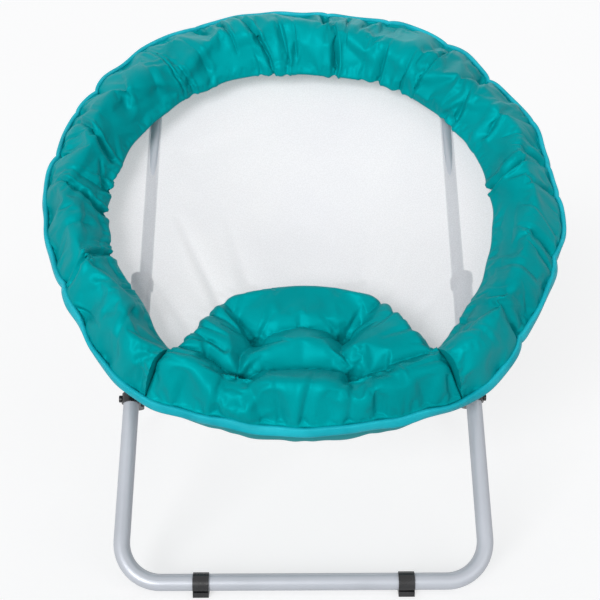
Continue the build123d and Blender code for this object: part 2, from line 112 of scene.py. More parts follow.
# The padding's inner edge: angle and radius.
HOLE_RADIUS = [(5, .283), (20, .275), (34, .270), (50, .268), (62, .259), (77, .253), (90, .252),
               (104, .257), (118, .265), (131, .271), (149, .276), (160, .278), (172, .286),
               (185, .290), (200, .293), (215, .294), (225, .304), (238, .330), (302, .332),
               (312, .318), (322, .306), (333, .295), (347, .288)]
SEAMS = [48.0, 132.0, 237.5, 302.5]
PAD_HALF = 32.3          # degrees from the middle of the front to the seat pad's ends
SEAM_IN = 0.0030         # the sewn edge lies this far inside the tape and above its middle
SEAM_UP = 0.0012
MESH_R = 0.345           # the mesh meets the rim tube here, at this height
MESH_TOP = -0.0136
MESH_DIP = 0.0770        # how much lower its middle hangs


def wave(angle, seed, terms):
    """Seeded sum of waves round the rim: (count, size) pairs."""
    rng = np.random.default_rng(seed)
    total = np.zeros_like(np.asarray(angle, float))
    for count, size in terms:
        total += size * np.sin(np.radians(angle) * count + rng.uniform(0, 2 * math.pi))
    return total


def away_from(angle, place_at):
    """Degrees from a place on the rim, -180 to 180."""
    return (np.asarray(angle, float) - place_at + 180) % 360 - 180


def near(angle, place_at, width):
    """1 at a place on the rim, fading to 0 away from it."""
    return np.exp(-(away_from(angle, place_at) / width) ** 2)


def edge_radius(angle):
    """Radius of the taped edge."""
    radius = around(EDGE_RADIUS, angle) + wave(angle, 4, [(23, .0006), (37, .0006)])
    for place_at, depth in NOTCHES:
        radius = radius - depth * np.exp(-np.abs(away_from(angle, place_at)) / NOTCH_HALF)
    return radius


def edge_height(angle):
    """Height of the taped edge above the rim plane."""
    return around(EDGE_HEIGHT, angle) + wave(angle, 9, [(9, .0014), (17, .0016), (29, .0010)])


def mesh_level(radius):
    """Height of the hanging mesh, below the rim plane."""
    share = np.minimum(np.asarray(radius, float) / MESH_R, 1.0)
    return MESH_TOP - MESH_DIP * (1 - share ** 1.4)


# ---- mesh helpers --------------------------------------------------------------------------------
def new_object(name, verts, faces, uvs=None):
    """A smooth-shaded object, with one pair of cloth coordinates per point."""
    mesh = bpy.data.meshes.new(name)
    mesh.from_pydata([tuple(v) for v in verts], [], faces)
    mesh.update()
    obj = bpy.data.objects.new(name, mesh)
    bpy.context.scene.collection.objects.link(obj)
    if uvs is not None:
        layer = mesh.uv_layers.new(name="cloth")
        loops = np.empty(len(mesh.loops), dtype=np.int32)
        mesh.loops.foreach_get("vertex_index", loops)
        layer.data.foreach_set("uv", np.asarray(uvs, np.float32)[loops].ravel())
    for poly in mesh.polygons:
        poly.use_smooth = True
    return obj


def grid_faces(rows, cols, wrap_rows=False, wrap_cols=False):
    """Four-sided faces over a grid of points, joined up where it wraps."""
    faces = []
    for i in range(rows if wrap_rows else rows - 1):
        for j in range(cols if wrap_cols else cols - 1):
            i2, j2 = (i + 1) % rows, (j + 1) % cols
            faces.append((i * cols + j, i * cols + j2, i2 * cols + j2, i2 * cols + j))
    return faces


def halfway(grid, axis, closed):
    """Twice the rows of a grid, on smooth curves through the rows it has."""
    p = np.moveaxis(grid, axis, 0)
    if closed:
        a, b, c, d = np.roll(p, 1, 0), p, np.roll(p, -1, 0), np.roll(p, -2, 0)
    else:
        longer = np.concatenate([2 * p[:1] - p[1:2], p, 2 * p[-1:] - p[-2:-1]])
        a, b, c, d = longer[:-3], longer[1:-2], longer[2:-1], longer[3:]
    fine = np.empty((2 * len(p) - (0 if closed else 1), *p.shape[1:]))
    fine[0::2] = p
    fine[1::2] = (9 * (b + c) - a - d) / 16
    return np.moveaxis(fine, 0, axis)


def grid_normals(grid, closed):
    """Unit normals of a grid of points."""
    def step(axis):
        if closed:
            return np.roll(grid, -1, axis) - np.roll(grid, 1, axis)
        return np.gradient(grid, axis=axis)
    normal = np.cross(step(1), step(0))
    return normal / np.maximum(np.linalg.norm(normal, axis=-1, keepdims=True), 1e-12)


CREASE_POWER = 1.35      # how sharp a crease's bottom is
CREASE_LEAN = 0.35       # how much steeper one side of it is
LIP_SIZE = 0.24          # its lips: height, distance and half width, as shares of the crease
LIP_AT = 2.4
LIP_HALF = 1.1


def fold(u, v, start, end, width, depth):
    """How far cloth sinks along a crease, with a low lip each side; depth at both ends."""
    du, dv = end[0] - start[0], end[1] - start[1]
    length = math.hypot(du, dv)
    along = np.clip(((u - start[0]) * du + (v - start[1]) * dv) / length ** 2, 0, 1)
    across = ((u - start[0]) * dv - (v - start[1]) * du) / length
    size = depth[0] + (depth[1] - depth[0]) * along
    wide = width * (0.5 + 0.5 * size / max(depth)) * (1 + CREASE_LEAN * np.tanh(across / width))
    away = np.hypot(u - start[0] - along * du, v - start[1] - along * dv) / wide
    lips = LIP_SIZE * np.exp(-((away - LIP_AT) / LIP_HALF) ** 2)
    return size * (np.exp(-away ** CREASE_POWER) - lips)


def positions(obj):
    """The object's points as an array."""
    co = np.empty(len(obj.data.vertices) * 3)
    obj.data.vertices.foreach_get("co", co)
    return co.reshape(-1, 3)


def place(obj, co):
    """Moves the object's points to an array's."""
    obj.data.vertices.foreach_set("co", np.asarray(co, float).ravel())
    obj.data.update()


def swell(obj, pins, frames, growth, pressure, bend, cap, gravity=0.0, stiff=18.0):
    """Cloth simulation against pinned seams; the result is kept in the mesh.

    growth is the share by which the cloth is cut larger, bend its stiffness against bending,
    stiff its stiffness against stretch, and cap how far a point may move, in metres.
    """
    before = positions(obj)
    group = obj.vertex_groups.new(name="pinned")
    for index, weight in enumerate(pins):
        if weight > 0:
            group.add([index], float(weight), "REPLACE")
    mod = obj.modifiers.new("Cloth", "CLOTH")
    cloth = mod.settings
    cloth.quality = 6
    cloth.mass = 0.25
    cloth.tension_stiffness = stiff
    cloth.compression_stiffness = stiff
    cloth.shear_stiffness = stiff * 0.4
    cloth.bending_stiffness = bend
    cloth.tension_damping = cloth.compression_damping = 12
    cloth.air_damping = 3
    cloth.vertex_group_mass = "pinned"
    cloth.effector_weights.gravity = gravity
    cloth.shrink_min = -growth
    if pressure:
        cloth.use_pressure = True
        cloth.uniform_pressure_force = pressure
    mod.collision_settings.use_collision = False
    mod.point_cache.frame_start = 1
    mod.point_cache.frame_end = frames
    scene = bpy.context.scene
    for number in range(1, frames + 1):
        scene.frame_set(number)
    seen = obj.evaluated_get(bpy.context.evaluated_depsgraph_get())
    after = np.empty(len(before) * 3)
    seen.data.vertices.foreach_get("co", after)
    after = after.reshape(-1, 3)
    obj.modifiers.remove(mod)
    scene.frame_set(1)
    move = after - before
    length = np.linalg.norm(move, axis=1, keepdims=True)
    move *= np.where(length > cap, cap / np.maximum(length, 1e-9), 1.0)   # never further than cap
    place(obj, before + move)


def part_of(obj, name, keep):
    """A copy of the faces whose centres pass the test."""
    mesh = obj.data.copy()
    mesh.name = name
    piece = bpy.data.objects.new(name, mesh)
    bpy.context.scene.collection.objects.link(piece)
    bm = bmesh.new()
    bm.from_mesh(mesh)
    gone = [f for f in bm.faces if not keep(f.calc_center_median())]
    bmesh.ops.delete(bm, geom=gone, context="FACES")
    bm.to_mesh(mesh)
    bm.free()
    return piece


def rim_angle(point):
    """A point's angle round the rim, 0 to 360 degrees."""
    d = np.array(point) - CENTRE
    return math.degrees(math.atan2(d @ AS, d @ AX)) % 360


# ---- materials -----------------------------------------------------------------------------------
class Shader:
    """A small helper that builds one procedural material."""

    def __init__(self, name):
        self.material = bpy.data.materials.new(name)
        self.material.use_nodes = True
        self.tree = self.material.node_tree
        self.tree.nodes.clear()
        self.out = self.add("ShaderNodeOutputMaterial")
        self.bsdf = self.add("ShaderNodeBsdfPrincipled")
        self.link(self.bsdf, "BSDF", self.out, "Surface")

    def add(self, kind, **values):
        node = self.tree.nodes.new(kind)
        for key, value in values.items():
            if key in node.inputs:
                node.inputs[key].default_value = value
            else:
                setattr(node, key, value)
        return node

    def link(self, a, out, b, into):
        self.tree.links.new(a.outputs[out], b.inputs[into])

    def coords(self, space, scale):
        source = self.add("ShaderNodeTexCoord")
        mapping = self.add("ShaderNodeMapping")
        mapping.inputs["Scale"].default_value = scale
        self.link(source, space, mapping, "Vector")
        return mapping

    def noise(self, mapping, scale, detail=3.0, rough=0.5):
        node = self.add("ShaderNodeTexNoise", Scale=scale, Detail=detail, Roughness=rough)
        self.link(mapping, "Vector", node, "Vector")
        return node

    def ramp(self, source, out, stops):
        node = self.add("ShaderNodeValToRGB")
        self.link(source, out, node, "Fac")
        while len(node.color_ramp.elements) < len(stops):
            node.color_ramp.elements.new(0.5)
        for element, (place_at, colour) in zip(node.color_ramp.elements, stops):
            element.position = place_at
            element.color = (*colour, 1.0)
        return node

    def gloss(self, source, low, high):
        """Roughness that drifts from low to high with the source."""
        span = self.add("ShaderNodeMapRange", **{"To Min": low, "To Max": high})
        self.link(source, "Fac", span, "Value")
        self.link(span, "Result", self.bsdf, "Roughness")

    def bump(self, source, out, strength, distance, under=None):
        node = self.add("ShaderNodeBump", Strength=strength, Distance=distance)
        self.link(source, out, node, "Height")
        if under is not None:
            self.link(under, "Normal", node, "Normal")
        return node


def satin_cloth(name, dark, base, light, rough=0.43):
    """Shiny woven nylon: fine plain weave, slight shade changes, crushed grain."""
    s = Shader(name)
    space = s.coords("Object", (1, 1, 1))
    patches = s.noise(space, 7.0, 4.0, 0.55)
    shade = s.ramp(patches, "Fac", [(0.30, dark), (0.52, base), (0.74, light)])
    s.link(shade, "Color", s.bsdf, "Base Color")
    grain = s.noise(space, 260.0, 2.0, 0.6)
    crush = s.noise(space, 22.0, 2.0, 0.5)
    warp = s.add("ShaderNodeTexWave", Scale=620.0, Distortion=0.6)
    weft = s.add("ShaderNodeTexWave", Scale=620.0, Distortion=0.6)
    weft.bands_direction = "Y"
    cloth = s.coords("UV", (1, 1, 1))
    s.link(cloth, "Vector", warp, "Vector")
    s.link(cloth, "Vector", weft, "Vector")
    weave = s.add("ShaderNodeMath", operation="MULTIPLY")
    s.link(warp, "Fac", weave, 0)
    s.link(weft, "Fac", weave, 1)
    first = s.bump(crush, "Fac", 0.10, 0.005)
    second = s.bump(grain, "Fac", 0.06, 0.0004, first)
    third = s.bump(weave, "Value", 0.10, 0.0002, second)
    s.link(third, "Normal", s.bsdf, "Normal")
    s.gloss(patches, rough - 0.05, rough + 0.09)
    s.bsdf.inputs["Metallic"].default_value = 0.12
    s.bsdf.inputs["Specular IOR Level"].default_value = 0.16
    s.bsdf.inputs["Specular Tint"].default_value = (0.02, 0.90, 1.0, 1)
    return s.material


def tape_cloth(name, base, light):
    """Woven tape: ribs across it, soft creases and shade changes."""
    s = Shader(name)
    cloth = s.coords("UV", (1, 1, 1))
    ribs = s.add("ShaderNodeTexWave", Scale=260.0, Distortion=0.4)
    s.link(cloth, "Vector", ribs, "Vector")
    space = s.coords("Object", (1, 1, 1))
    patches = s.noise(space, 24.0, 3.0, 0.5)
    shade = s.ramp(patches, "Fac", [(0.3, base), (0.7, light)])
    s.link(shade, "Color", s.bsdf, "Base Color")
    ribbed = s.bump(ribs, "Fac", 0.30, 0.0006)
    crush = s.bump(patches, "Fac", 0.25, 0.003, ribbed)
    s.link(crush, "Normal", s.bsdf, "Normal")
    s.bsdf.inputs["Roughness"].default_value = 0.5
    s.bsdf.inputs["Specular Tint"].default_value = (0.30, 0.95, 1.0, 1)
    return s.material


def sheer_mesh(name):
    """White net that lets part of the background through between its threads."""
    s = Shader(name)
    space = s.coords("Object", (1, 1, 1))
    patches = s.noise(space, 5.0, 3.0, 0.5)
    shade = s.ramp(patches, "Fac", [(0.3, (0.80, 0.80, 0.84)), (0.7, (0.88, 0.88, 0.895))])
    s.link(shade, "Color", s.bsdf, "Base Color")
    holes = s.add("ShaderNodeTexVoronoi", Scale=620.0)
    s.link(space, "Vector", holes, "Vector")
    cover = s.add("ShaderNodeMapRange", **{"From Max": 0.7, "To Min": 0.56, "To Max": 0.68})
    s.link(holes, "Distance", cover, "Value")
    s.link(cover, "Result", s.bsdf, "Alpha")
    threads = s.bump(holes, "Distance", 0.12, 0.0004)
    s.link(threads, "Normal", s.bsdf, "Normal")
    s.bsdf.inputs["Roughness"].default_value = 0.65
    s.bsdf.inputs["Sheen Weight"].default_value = 0.2
    return s.material


def paint(name, dark, base, light, rough, metal):
    """Powder-coated tube: faint orange peel and soft shade changes."""
    s = Shader(name)
    space = s.coords("Object", (1, 1, 1))
    patches = s.noise(space, 9.0, 3.0, 0.5)
    shade = s.ramp(patches, "Fac", [(0.3, dark), (0.5, base), (0.72, light)])
    s.link(shade, "Color", s.bsdf, "Base Color")
    peel = s.noise(space, 420.0, 2.0, 0.5)
    skin = s.bump(peel, "Fac", 0.10, 0.0004)
    s.link(skin, "Normal", s.bsdf, "Normal")
    s.gloss(patches, rough - 0.05, rough + 0.06)
    s.bsdf.inputs["Metallic"].default_value = metal
    return s.material


def plastic(name, base, light, rough):
    """Moulded plastic with a fine grain."""
    s = Shader(name)
    space = s.coords("Object", (1, 1, 1))
    patches = s.noise(space, 40.0, 3.0, 0.5)
    shade = s.ramp(patches, "Fac", [(0.35, base), (0.75, light)])
    s.link(shade, "Color", s.bsdf, "Base Color")
    grain = s.noise(space, 900.0, 2.0, 0.5)
    skin = s.bump(grain, "Fac", 0.12, 0.0003)
    s.link(skin, "Normal", s.bsdf, "Normal")
    s.gloss(patches, rough - 0.05, rough + 0.08)
    return s.material


TEAL = satin_cloth("teal_cloth", (0.0, 0.256, 0.275), (0.0, 0.299, 0.321), (0.0, 0.342, 0.368))
TAPE = tape_cloth("binding_tape", (0.0, 0.35, 0.43), (0.012, 0.48, 0.58))
SHEER = sheer_mesh("white_mesh")
SILVER = paint("frame_paint", (0.46, 0.485, 0.53), (0.50, 0.525, 0.575), (0.54, 0.565, 0.615),
               0.36, 0.18)
STEEL = paint("bare_steel", (0.42, 0.43, 0.44), (0.50, 0.51, 0.52), (0.57, 0.58, 0.59), 0.32, 0.9)
BLACK = plastic("black_plastic", (0.010, 0.010, 0.011), (0.022, 0.022, 0.024), 0.26)
GREY = plastic("grey_plastic", (0.36, 0.38, 0.42), (0.43, 0.45, 0.49), 0.42)

BY_SLOT = {"teal_cloth": TEAL, "binding_tape": TAPE, "white_mesh": SHEER, "frame_paint": SILVER,
           "bare_steel": STEEL, "black_plastic": BLACK, "grey_plastic": GREY}
for entry in frame["record"]["subparts"]:
    node = frame["nodes"][entry["node"]]
    node.data.materials.clear()
    node.data.materials.append(BY_SLOT[entry["material_slot"]])


def finish_piece(obj, slot, replaced):
    """Material, body and slot of a soft piece, and the CAD nodes that it stands for."""
    obj.data.materials.clear()
    obj.data.materials.append(BY_SLOT[slot])
    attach(obj, BODY)
    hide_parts(*replaced)


# ---- round padding -------------------------------------------------------------------------------
COLS = 432
ANGLES = np.arange(COLS) * 360.0 / COLS
TOP_ROWS = 34
LOW_ROWS = 10
ARC = 0.0054             # metres along the rim for one degree
ACROSS = 0.135           # metres over the padding from its outer to its inner edge
PEAK_SHARE = 0.46        # where its highest line runs, from the inner to the outer edge
CROWN = 0.0400           # the height of that line, and how much higher it is at the back
CROWN_BACK = 0.0040
OUTER_POWER = 1.75       # how full its outer half is; the inner half is round
END_PULL = 0.16          # how much lower it is where it meets the seat pad
UNDERSIDE = -0.0150      # heights of the underside and of the inner edge
INNER_EDGE = -0.006
UNDER_IN = 0.004         # how far the underside stays inside the inner and the outer edge
UNDER_OUT = 0.003
RISE_IN = 4              # how steeply it rises to them
RISE_OUT = 10
SEAM_PIN = 0.75          # how firmly a seam across the padding is held, and its half width
SEAM_HALF = 0.45
RIM_LENGTH = 2.1         # metres of cloth round the padding
FOLD_WIDTH = 0.0009      # metres for one unit of width and of depth in the tables of folds
PADDING_DEPTH = 0.0013
PAD_DEPTH = 0.0012

# Folds seen in the padding: angle and share across (0 = outer edge) at both ends, then the
# width and the depth at both ends.
PADDING_FOLDS = [
    (160, .16, 164.5, .55, 5, 4, 9), (164.5, .55, 168.5, .94, 5, 9, 7),
    (165.3, .04, 164.8, .50, 2.4, 3, 1), (180, .28, 184, .78, 5, 4, 9),
    (184, .78, 187.5, 1.0, 5, 9, 8), (172, .86, 179, 1.0, 4, 2, 7),
    (170, .04, 171.5, .40, 5, 6, 1), (177, .20, 179.5, .92, 6, 1.5, 4),
    (112, .22, 111, .84, 4, 8, 2), (107, .16, 103.4, .72, 5, 5, 10),
    (103.4, .72, 100, 1.0, 4, 10, 4), (96.8, .34, 94.8, .95, 5, 2, 6),
    (124, .30, 122, .90, 7, 1.5, 5), (131, .50, 129.6, .97, 5, 1, 4),
    (117, .02, 115.6, .34, 4, 7, 1), (92.5, .40, 91.5, .90, 4, 1, 4),
    (143, .22, 151.5, .78, 9, 1.5, 4.5), (156, .04, 158.5, .50, 6, 5, 1),
    (83.5, .02, 82.3, .46, 4.5, 9, 1.5), (81.2, .28, 77, .96, 5, 3, 10),
    (76.9, .18, 75.2, .76, 4, 6, 1.5), (71, .04, 72.8, .56, 6, 8, 1.5),
    (66, .02, 58, .18, 3.5, 7, 1.5), (62, .58, 61.6, .99, 5, 1.5, 6),
    (54, .60, 53, .99, 5, 1.5, 5), (50, .02, 46.8, .36, 5, 7, 1), (37, .03, 30.5, .60, 7, 7, 1.5),
    (33.5, .46, 29.6, .97, 6, 1, 5), (23.6, .20, 18, .86, 6, 1.5, 7),
    (12, .10, 14, .68, 3.5, 5, 1.5), (7, .03, 9.8, .60, 4, 9, 1.5),
    (5.6, .12, 3.5, .52, 4.5, 4, 9), (3.5, .52, .3, 1.0, 4.5, 9, 8),
    (358, .03, 356, .56, 4, 8, 1), (341, .03, 342.8, .66, 4, 8, 1),
    (337, .03, 338.4, .50, 3.5, 6, 1), (346.4, .10, 350.5, .68, 6, 3.5, 1),
    (207.5, .03, 206, .45, 4.5, 4, 8), (206, .45, 202.4, 1.0, 4.5, 8, 7),
    (213, .02, 222, .20, 3.5, 6, 1), (320, .02, 318.6, .28, 4, 8, 1),
    (325, .20, 321.5, .76, 7, 1, 4), (196, .20, 194.5, .82, 8, 1, 3.5),
    (228.5, .18, 225.5, .82, 8, 1, 3.5), (312, .26, 309.6, .82, 8, 1, 3.5),
    (332, .20, 330.6, .86, 7, 4, 1), (136.6, .26, 140.5, .86, 9, 1, 4),
    (27.4, .06, 24.6, .54, 7, 4.5, 1), (48, .02, 47.2, .98, 1.8, 3, 3),
    (132, .02, 133, .98, 1.8, 3, 3),
]


def padding_section():
    """Rows of (radius, height) round the padding's section, with their place across the top."""
    outer = edge_radius(ANGLES) - SEAM_IN
    outer_h = edge_height(ANGLES) + SEAM_UP
    inner = around(HOLE_RADIUS, ANGLES) + wave(ANGLES, 21, [(8, .0014), (15, .0012), (26, .0008)])
    crown = CROWN + CROWN_BACK * np.sin(np.radians(ANGLES))
    crown = crown + wave(ANGLES, 22, [(7, .0014), (13, .0016), (21, .0012)])
    pulled = END_PULL * np.maximum(near(ANGLES, SEAMS[2], 2.6), near(ANGLES, SEAMS[3], 2.6))
    crown = crown * (1 - pulled)
    rows, across = [], []
    middle = inner + (outer - inner) * PEAK_SHARE
    for i in range(TOP_ROWS):
        turn = math.pi * i / (TOP_ROWS - 1)
        side = math.cos(turn)
        if side > 0:
            radius = middle + (outer - middle) * side
            lift = 1 - side ** OUTER_POWER
        else:
            radius = middle + (middle - inner) * side
            lift = math.sqrt(max(1 - side * side, 0.0))
        start_h = outer_h * (1 + side) / 2 + INNER_EDGE * (1 - side) / 2
        rows.append((radius, start_h + (crown - start_h) * lift))
        across.append((1 - side) / 2)
    for i in range(1, LOW_ROWS + 1):
        k = i / (LOW_ROWS + 1)
        radius = (inner + UNDER_IN) + (outer - UNDER_OUT - inner - UNDER_IN) * k
        sink = min(1.0, RISE_IN * k, RISE_OUT * (1 - k))
        edge = INNER_EDGE * (1 - k) + outer_h * k
        rows.append((radius, edge * (1 - sink) + np.minimum(UNDERSIDE, outer_h) * sink))
        across.append(1 - k)
    return rows, np.array(across)


def small_folds(seed, count):
    """Seeded gathers that start at the padding's outer or inner edge."""
    rng = np.random.default_rng(seed)
    folds = []
    for _ in range(count):
        angle = rng.uniform(-60, 240)
        slant = rng.normal(0, 2.0)
        reach = rng.uniform(0.10, 0.38)
        ends = (0.02, 0.02 + reach) if rng.random() < 0.75 else (0.99, 0.99 - reach)
        depth = rng.uniform(1.2, 3.6)
        folds.append((angle, ends[0], angle + slant, ends[1], rng.uniform(3.0, 6.0),
                      depth, depth * 0.1))
    for _ in range(count // 2):
        angle = rng.uniform(-60, 240)
        start = rng.uniform(0.15, 0.5)
        folds.append((angle, start, angle + rng.normal(0, 3.0), start + rng.uniform(0.15, 0.4),
                      rng.uniform(6.0, 12.0), rng.uniform(0.6, 1.8), rng.uniform(0.6, 1.8)))
    return folds


def make_padding():
    """The whole ring of padding: swollen between its seams, then creased."""
    rows, across = padding_section()
    grid = np.stack([polar(ANGLES, r, h) for r, h in rows])
    total = len(rows)
    faces = [f[::-1] for f in grid_faces(total, COLS, wrap_rows=True, wrap_cols=True)]
    draft = new_object("padding_draft", grid.reshape(-1, 3), faces)
    pins = np.zeros((total, COLS))
    pins[0] = 1
    pins[TOP_ROWS - 2:] = 1
    pins[:, (ANGLES > SEAMS[2] + 1.5) & (ANGLES < SEAMS[3] - 1.5)] = 1   # the seat pad's place
    for seam in SEAMS:
        pins[:, np.abs(away_from(ANGLES, seam)) < SEAM_HALF] = SEAM_PIN
    swell(draft, pins.ravel(), frames=22, growth=0.035, pressure=2.4, bend=3.0, cap=0.009)
    grid = positions(draft).reshape(total, COLS, 3)
    bpy.data.objects.remove(draft)

    grid = halfway(halfway(halfway(grid, 0, True), 1, True), 1, True)
    upper = halfway((np.arange(total) < TOP_ROWS).astype(float), 0, True)
    across = halfway(across, 0, True)[:, None]
    fine_cols = 4 * COLS
    angle = np.arange(fine_cols) * 360.0 / fine_cols
    v = across * ACROSS
    hollow, lip = np.zeros(grid.shape[:2]), np.zeros(grid.shape[:2])
    for a0, v0, a1, v1, width, deep0, deep1 in PADDING_FOLDS + small_folds(17, 52):
        u = (away_from(angle, (a0 + a1) / 2) * ARC)[None, :]
        half = (a1 - a0) / 2 * ARC
        sink = fold(u, v, (-half, v0 * ACROSS), (half, v1 * ACROSS), width * FOLD_WIDTH,
                    (deep0 * PADDING_DEPTH, deep1 * PADDING_DEPTH))
        hollow, lip = np.maximum(hollow, sink), np.minimum(lip, sink)
    to_seam = np.clip(12 * across, 0.15, 1)      # creases fade at the outer seam
    sink = (hollow + lip) * np.clip(upper, 0, 1)[:, None] * to_seam
    grid = grid - grid_normals(grid, True) * sink[..., None]
    run = np.concatenate([[0], np.cumsum(np.linalg.norm(np.diff(grid[:, 0], axis=0), axis=1))])
    uvs = [(a / 360 * RIM_LENGTH, run[i]) for i in range(2 * total) for a in angle]
    faces = [f[::-1] for f in grid_faces(2 * total, fine_cols, wrap_rows=True, wrap_cols=True)]
    return new_object("padding", grid.reshape(-1, 3), faces, uvs)


def close_ends(obj):
    """Caps over the open ends, where a length of padding meets the next."""
    bm = bmesh.new()
    bm.from_mesh(obj.data)
    rims = [edge for edge in bm.edges if edge.is_boundary]
    for edge in rims:
        edge.smooth = False
    bmesh.ops.holes_fill(bm, edges=rims, sides=0)
    bm.to_mesh(obj.data)
    bm.free()


ring = make_padding()
LENGTHS = {
    "padding_back": (48, 132), "padding_side_left": (132, 192), "padding_front_left": (192, 237.5),
    "padding_front_right": (302.5, 348), "padding_side_right": (348, 408),
}


def within(start, end):
    """Test for points between two angles of the rim."""
    def test(point):
        angle = rim_angle(point)
        return start <= (angle if angle >= start else angle + 360) < end
    return test


for name, (start, end) in LENGTHS.items():
    piece = part_of(ring, "cloth_" + name, within(start, end))
    close_ends(piece)
    finish_piece(piece, "teal_cloth", [name])
bpy.data.objects.remove(ring)


# ---- seat pad ------------------------------------------------------------------------------------
def pillow(name, top, low, uvs):
    """Closed piece from two grids that share their border."""
    rows, cols = top.shape[:2]
    verts = list(top.reshape(-1, 3))
    index = np.arange(rows * cols).reshape(rows, cols)
    under = index.copy()
    for i in range(1, rows - 1):
        for j in range(1, cols - 1):
            under[i, j] = len(verts)
            verts.append(low[i, j])
    faces = []
    for i in range(rows - 1):
        for j in range(cols - 1):
            faces.append((index[i, j], index[i, j + 1], index[i + 1, j + 1], index[i + 1, j]))
            faces.append((under[i, j], under[i + 1, j], under[i + 1, j + 1], under[i, j + 1]))
    faces = [tuple(int(v) for v in f) for f in faces]
    all_uvs = list(uvs.reshape(-1, 2)) + [(0.0, 0.0)] * (len(verts) - rows * cols)
    return new_object(name, verts, faces, all_uvs)


def smooth_step(value, low, high):
    """0 below low, 1 above high, with a smooth rise between them."""
    t = np.clip((value - low) / (high - low), 0, 1)
    return t * t * (3 - 2 * t)


# The four tufts, on the rim's axes.
TUFTS = [(-0.064, -0.252), (0.056, -0.247), (-0.085, -0.322), (0.069, -0.315)]
# Valleys between the pad's pillows: points along each, and how deep it is, from 0 to 1.
VALLEYS = [
    ([TUFTS[0], (-0.040, -0.242), (-0.003, -0.234), (0.030, -0.238), TUFTS[1]], 0.72),
    ([TUFTS[2], (-0.050, -0.308), (0.000, -0.303), (0.036, -0.306), TUFTS[3]], 0.95),
    ([TUFTS[0], (-0.088, -0.218)], 0.80), ([(-0.088, -0.218), (-0.112, -0.190)], 0.45),
    ([TUFTS[1], (0.082, -0.222)], 0.85), ([(0.082, -0.222), (0.112, -0.190)], 0.50),
    ([TUFTS[2], (-0.127, -0.290)], 0.85), ([(-0.127, -0.290), (-0.180, -0.276)], 0.60),
    ([TUFTS[3], (0.110, -0.311)], 0.90), ([(0.110, -0.311), (0.180, -0.286)], 0.70),
    ([TUFTS[0], (-0.082, -0.286), TUFTS[2]], 0.70),
    ([TUFTS[1], (0.052, -0.280), TUFTS[3]], 0.62),
    ([(-0.158, -0.246), (-0.104, -0.284)], 0.50),
    ([(-0.128, -0.216), (-0.080, -0.246)], 0.40),
]
# Folds over the pad: both ends on the rim's axes, then width and depths.
PAD_FOLDS = [
    ((-0.116, -0.376), (-0.104, -0.330), 9, 5, 1), ((-0.050, -0.380), (-0.080, -0.326), 10, 5, 3),
    ((-0.030, -0.380), (-0.034, -0.340), 8, 4, 1), ((0.000, -0.382), (0.016, -0.324), 8, 6, 1.5),
    ((0.060, -0.380), (0.069, -0.322), 9, 4, 3), ((0.100, -0.374), (0.088, -0.330), 9, 5, 1),
    ((0.180, -0.374), (0.150, -0.334), 10, 5, 1), ((-0.176, -0.362), (-0.150, -0.328), 10, 4, 1),
    ((-0.064, -0.252), (-0.104, -0.212), 6, 7, 1), ((-0.064, -0.252), (-0.040, -0.218), 7, 5, 1),
    ((-0.064, -0.252), (-0.018, -0.272), 6, 6, 1), ((-0.064, -0.252), (-0.106, -0.242), 6, 6, 1),
    ((0.056, -0.247), (0.028, -0.220), 7, 5, 1), ((0.056, -0.247), (0.082, -0.204), 6, 6, 1),
    ((0.056, -0.247), (0.106, -0.236), 7, 5, 1), ((0.056, -0.247), (0.020, -0.262), 7, 4, 1),
    ((-0.085, -0.322), (-0.052, -0.292), 7, 5, 1), ((-0.085, -0.322), (-0.132, -0.314), 7, 6, 1),
    ((-0.085, -0.322), (-0.104, -0.348), 7, 5, 1), ((0.069, -0.315), (0.036, -0.286), 8, 5, 1),
    ((0.069, -0.315), (0.118, -0.330), 7, 5, 1), ((0.069, -0.315), (0.050, -0.344), 7, 5, 1),
    ((-0.172, -0.264), (-0.122, -0.270), 5, 6, 1.5), ((-0.182, -0.288), (-0.134, -0.304), 6, 5, 1),
    ((-0.154, -0.236), (-0.104, -0.262), 5, 5, 1), ((0.158, -0.250), (0.110, -0.268), 7, 4, 1),
    ((0.188, -0.302), (0.136, -0.322), 7, 4, 1), ((0.130, -0.216), (0.098, -0.246), 6, 4, 1),
]


def line_gap(x, s, points):
    """Distance from a broken line."""
    gap = np.full(np.shape(x), 1.0)
    for (x0, s0), (x1, s1) in zip(points[:-1], points[1:]):
        dx, ds = x1 - x0, s1 - s0
        along = np.clip(((x - x0) * dx + (s - s0) * ds) / (dx * dx + ds * ds), 0, 1)
        gap = np.minimum(gap, np.hypot(x - x0 - along * dx, s - s0 - along * ds))
    return gap


